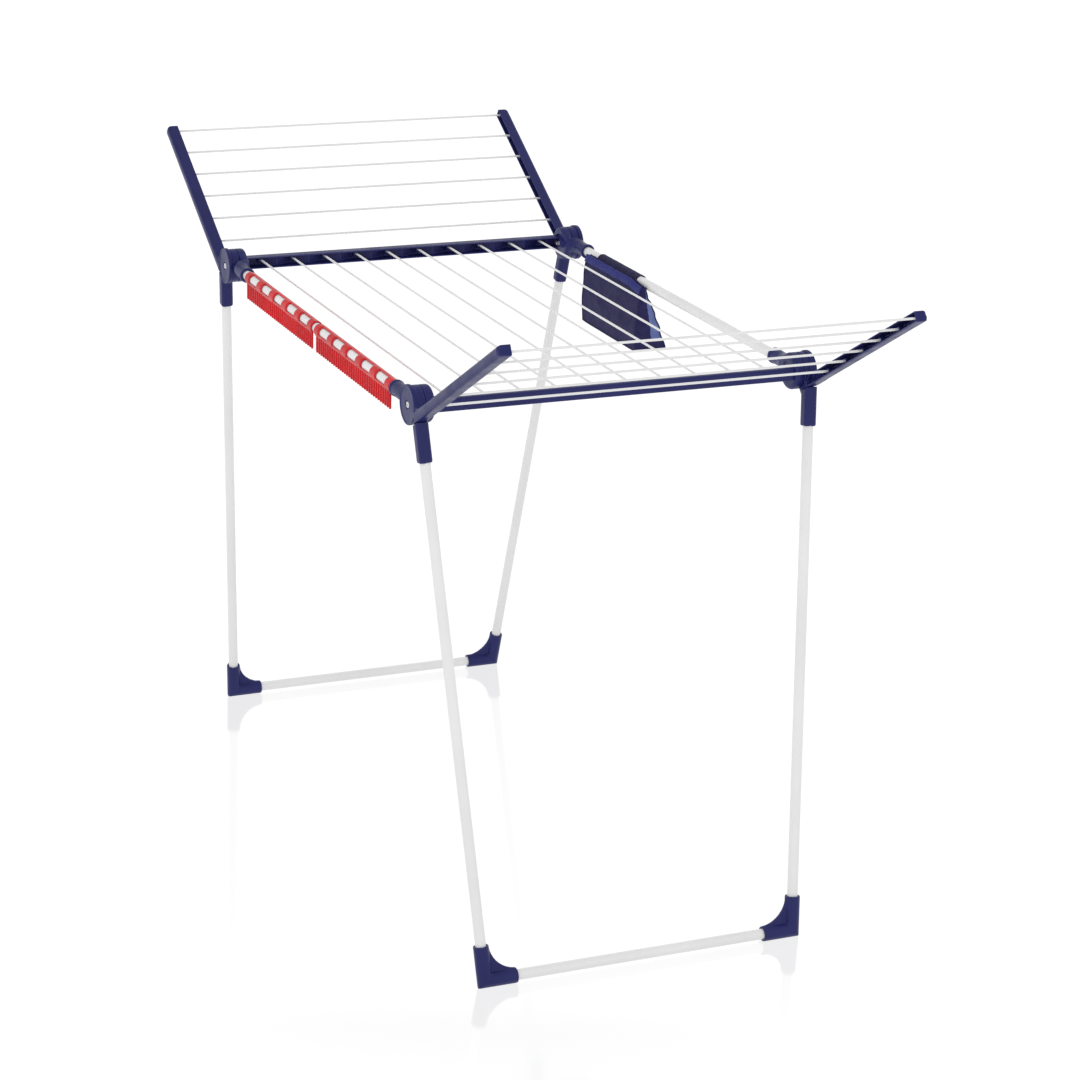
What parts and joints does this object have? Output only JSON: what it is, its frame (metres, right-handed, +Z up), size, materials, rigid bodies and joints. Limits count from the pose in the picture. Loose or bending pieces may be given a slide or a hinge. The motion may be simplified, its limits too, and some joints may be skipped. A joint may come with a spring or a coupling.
{
  "type": "clothes drying rack",
  "caption": "Free-standing clothes drying rack: wire frame with folding wings, splayed folding leg frames, clip-on comb holders and a hanging peg bag.",
  "frame": {"origin": "on the floor under the middle of the rack", "axes": "+Z up, +Y along the rack towards the rear wing, +X across the rack to the peg bag's side"},
  "size_m": [0.7355, 1.7272, 1.1374],
  "materials": {
    "navy_plastic": "moulded polypropylene, fine satin texture",
    "white_coat": "white powder coat on steel tube and wire",
    "red_plastic": "moulded red plastic, semi-gloss",
    "navy_fabric": "plain-weave polyester bag cloth",
    "steel": "zinc-plated steel"
  },
  "bodies": {
    "frame": {"rear_right_corner_block": "navy_plastic", "rear_right_hub_bolt": "steel", "rear_right_hub_nut": "steel", "rear_left_corner_block": "navy_plastic", "rear_left_hub_bolt": "steel", "rear_left_hub_nut": "steel", "front_right_corner_block": "navy_plastic", "front_right_hub_bolt": "steel", "front_right_hub_nut": "steel", "front_left_corner_block": "navy_plastic", "front_left_hub_bolt": "steel", "front_left_hub_nut": "steel", "front_rail": "navy_plastic", "rear_rail": "navy_plastic", "left_side_tube": "white_coat", "right_side_tube": "white_coat", "centre_wire_01": "white_coat", "centre_wire_02": "white_coat", "centre_wire_03": "white_coat", "centre_wire_04": "white_coat", "centre_wire_05": "white_coat", "centre_wire_06": "white_coat", "centre_wire_07": "white_coat", "centre_wire_08": "white_coat", "centre_wire_09": "white_coat", "centre_wire_10": "white_coat"},
    "front_wing": {"front_left_wing_arm": "navy_plastic", "front_right_wing_arm": "navy_plastic", "front_wing_wire_1": "white_coat", "front_wing_wire_2": "white_coat", "front_wing_wire_3": "white_coat", "front_wing_wire_4": "white_coat", "front_wing_wire_5": "white_coat", "front_wing_wire_6": "white_coat"},
    "rear_wing": {"rear_left_wing_arm": "navy_plastic", "rear_right_wing_arm": "navy_plastic", "rear_wing_wire_1": "white_coat", "rear_wing_wire_2": "white_coat", "rear_wing_wire_3": "white_coat", "rear_wing_wire_4": "white_coat", "rear_wing_wire_5": "white_coat", "rear_wing_wire_6": "white_coat"},
    "front_legs": {"front_left_leg_socket": "navy_plastic", "front_left_leg_tube": "white_coat", "front_left_foot": "navy_plastic", "front_right_leg_socket": "navy_plastic", "front_right_leg_tube": "white_coat", "front_right_foot": "navy_plastic", "front_cross_tube": "white_coat"},
    "rear_legs": {"rear_left_leg_socket": "navy_plastic", "rear_left_leg_tube": "white_coat", "rear_left_foot": "navy_plastic", "rear_right_leg_socket": "navy_plastic", "rear_right_leg_tube": "white_coat", "rear_right_foot": "navy_plastic", "rear_cross_tube": "white_coat"},
    "front_holder": {"front_small_item_holder": "red_plastic"},
    "rear_holder": {"rear_small_item_holder": "red_plastic"},
    "bag": {"bag_hanger": "navy_plastic", "peg_bag": "navy_fabric"}
  },
  "joints": [
    {"name": "front_wing_fold", "type": "hinge", "parent": "frame", "child": "front_wing", "pos_m": [0, -0.485, 0.944], "axis": [-1, 0, 0], "range_deg": [0, 150]},
    {"name": "rear_wing_fold", "type": "hinge", "parent": "frame", "child": "rear_wing", "pos_m": [0, 0.485, 0.944], "axis": [1, 0, 0], "range_deg": [0, 150]},
    {"name": "front_legs_fold", "type": "hinge", "parent": "frame", "child": "front_legs", "pos_m": [0, -0.485, 0.944], "axis": [1, 0, 0], "range_deg": [0, 100.4]},
    {"name": "rear_legs_fold", "type": "hinge", "parent": "frame", "child": "rear_legs", "pos_m": [0, 0.485, 0.944], "axis": [-1, 0, 0], "range_deg": [0, 98.1], "deforming": ["peg_bag"]},
    {"name": "front_holder_swivel", "type": "hinge", "parent": "frame", "child": "front_holder", "pos_m": [-0.342, 0, 0.946], "axis": [0, 1, 0], "range_deg": [0, 91]},
    {"name": "rear_holder_swivel", "type": "hinge", "parent": "frame", "child": "rear_holder", "pos_m": [-0.342, 0, 0.946], "axis": [0, 1, 0], "range_deg": [0, 91]},
    {"name": "bag_swing", "type": "hinge", "parent": "frame", "child": "bag", "pos_m": [0.342, 0, 0.946], "axis": [0, 1, 0], "range_deg": [-30, 30]}
  ],
  "couplings": [
    {"joint": "front_holder_swivel", "follows": "front_legs_fold", "ratio": 0.9},
    {"joint": "rear_holder_swivel", "follows": "rear_legs_fold", "ratio": 0.9}
  ]
}
